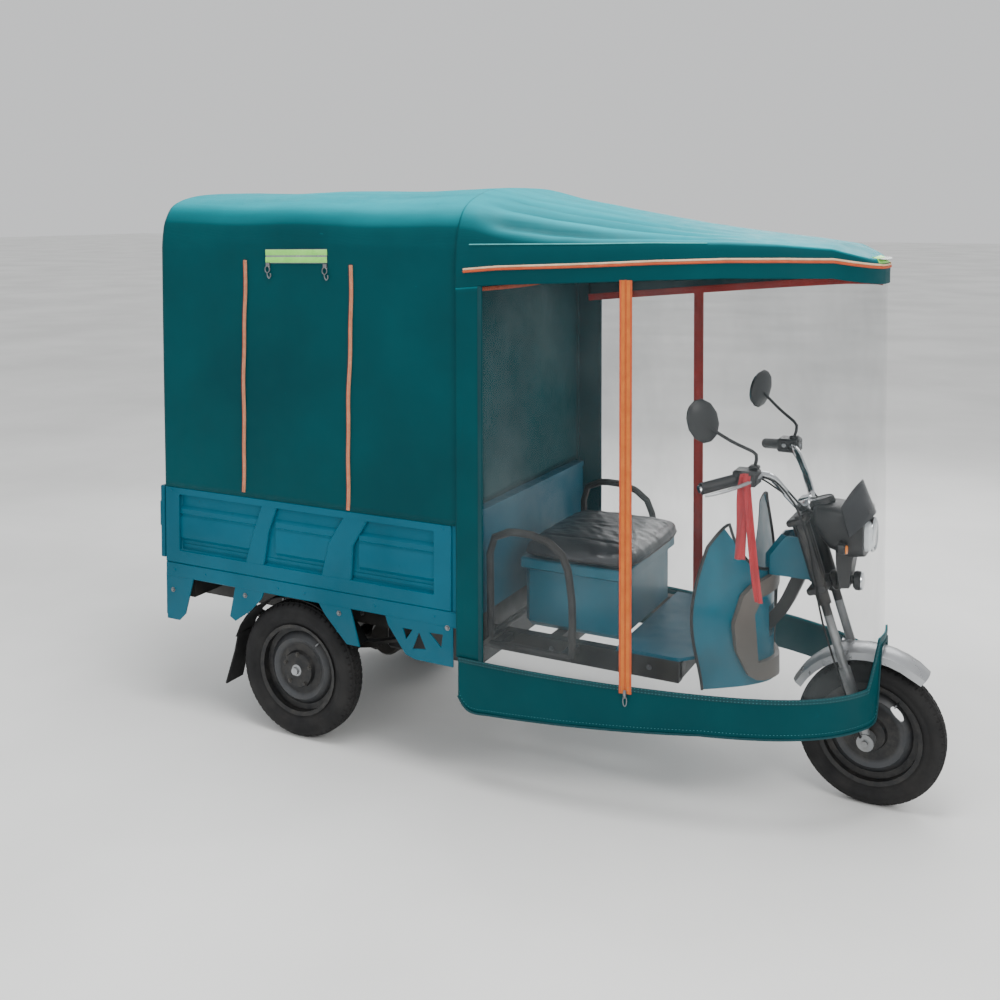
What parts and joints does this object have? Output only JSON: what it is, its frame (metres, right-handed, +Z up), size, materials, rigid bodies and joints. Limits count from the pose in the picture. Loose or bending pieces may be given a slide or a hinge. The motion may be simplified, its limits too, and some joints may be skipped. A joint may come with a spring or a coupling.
{
  "type": "cargo tricycle",
  "caption": "Electric cargo tricycle with an open steel bed under a fabric canopy and a fabric-roofed cab with clear film windows",
  "frame": {"origin": "middle of the overall box, on the ground", "axes": "+X towards the front wheel, +Y to the left side, +Z up"},
  "size_m": [2.831, 1.024, 2.003],
  "materials": {
    "armrests": null,
    "battery_box": null,
    "bed_canopy": null,
    "bed_tub": null,
    "brake_cable": null,
    "cab_cover_left": null,
    "cab_cover_right": null,
    "cab_roof": null,
    "canopy_frame": null,
    "footboard": null,
    "fork": null,
    "front_curtain": null,
    "front_flap": null,
    "grip_left": null,
    "grip_right": null,
    "handlebar": null,
    "headlamp": null,
    "lamp_housing": null,
    "leaf_spring_left": null,
    "leaf_spring_right": null,
    "leg_shield": null,
    "main_frame": null,
    "mirror_left": null,
    "mirror_right": null,
    "mudguard_front": null,
    "mudguard_rear_left": null,
    "mudguard_rear_right": null,
    "rear_axle": null,
    "rear_curtain": null,
    "rim_front": null,
    "rim_rear_left": null,
    "rim_rear_right": null,
    "seat_base": null,
    "seat_cushion": null,
    "shield_panel": null,
    "side_panel_left": null,
    "side_panel_right": null,
    "tailgate": null,
    "tyre_front": null,
    "tyre_rear_left": null,
    "tyre_rear_right": null,
    "window_front": null,
    "window_rear_left": null,
    "window_rear_right": null,
    "windscreen": null
  },
  "bodies": {
    "chassis": {"armrests": "armrests", "battery_box": "battery_box", "bed_canopy": "bed_canopy", "bed_tub": "bed_tub", "cab_cover_left": "cab_cover_left", "cab_cover_right": "cab_cover_right", "cab_roof": "cab_roof", "canopy_frame": "canopy_frame", "footboard": "footboard", "front_curtain": "front_curtain", "front_flap": "front_flap", "leaf_spring_left": "leaf_spring_left", "leaf_spring_right": "leaf_spring_right", "leg_shield": "leg_shield", "main_frame": "main_frame", "mudguard_rear_left": "mudguard_rear_left", "mudguard_rear_right": "mudguard_rear_right", "rear_axle": "rear_axle", "rear_curtain": "rear_curtain", "seat_base": "seat_base", "shield_panel": "shield_panel", "side_panel_left": "side_panel_left", "side_panel_right": "side_panel_right", "window_front": "window_front", "window_rear_left": "window_rear_left", "window_rear_right": "window_rear_right"},
    "steering": {"fork": "fork", "handlebar": "handlebar", "grip_right": "grip_right", "grip_left": "grip_left", "mirror_right": "mirror_right", "mirror_left": "mirror_left", "lamp_housing": "lamp_housing", "headlamp": "headlamp", "windscreen": "windscreen", "mudguard_front": "mudguard_front", "brake_cable": "brake_cable"},
    "front_wheel": {"tyre_front": "tyre_front", "rim_front": "rim_front"},
    "rear_wheel_right": {"tyre_rear_right": "tyre_rear_right", "rim_rear_right": "rim_rear_right"},
    "rear_wheel_left": {"tyre_rear_left": "tyre_rear_left", "rim_rear_left": "rim_rear_left"},
    "tailgate": {"tailgate": "tailgate"},
    "seat": {"seat_cushion": "seat_cushion"}
  },
  "joints": [
    {"name": "steer", "type": "hinge", "parent": "chassis", "child": "steering", "pos_m": [0.97772, 0, 0.8], "axis": [-0.3007, 0, 0.9537], "range_deg": [-35, 35], "deforming": ["window_front", "front_flap"]},
    {"name": "front_roll", "type": "hinge", "parent": "steering", "child": "front_wheel", "pos_m": [1.1815, 0, 0.234], "axis": [0, 1, 0], "continuous": true},
    {"name": "rear_roll_right", "type": "hinge", "parent": "chassis", "child": "rear_wheel_right", "pos_m": [-0.7665, -0.432, 0.247], "axis": [0, 1, 0], "continuous": true},
    {"name": "rear_roll_left", "type": "hinge", "parent": "chassis", "child": "rear_wheel_left", "pos_m": [-0.7665, 0.432, 0.247], "axis": [0, 1, 0], "continuous": true},
    {"name": "tailgate_swing", "type": "hinge", "parent": "chassis", "child": "tailgate", "pos_m": [-1.3745, 0, 0.588], "axis": [0, -1, 0], "range_deg": [0, 150]},
    {"name": "seat_lift", "type": "hinge", "parent": "chassis", "child": "seat", "pos_m": [0.4385, 0, 0.715], "axis": [0, 1, 0], "range_deg": [0, 70]}
  ]
}
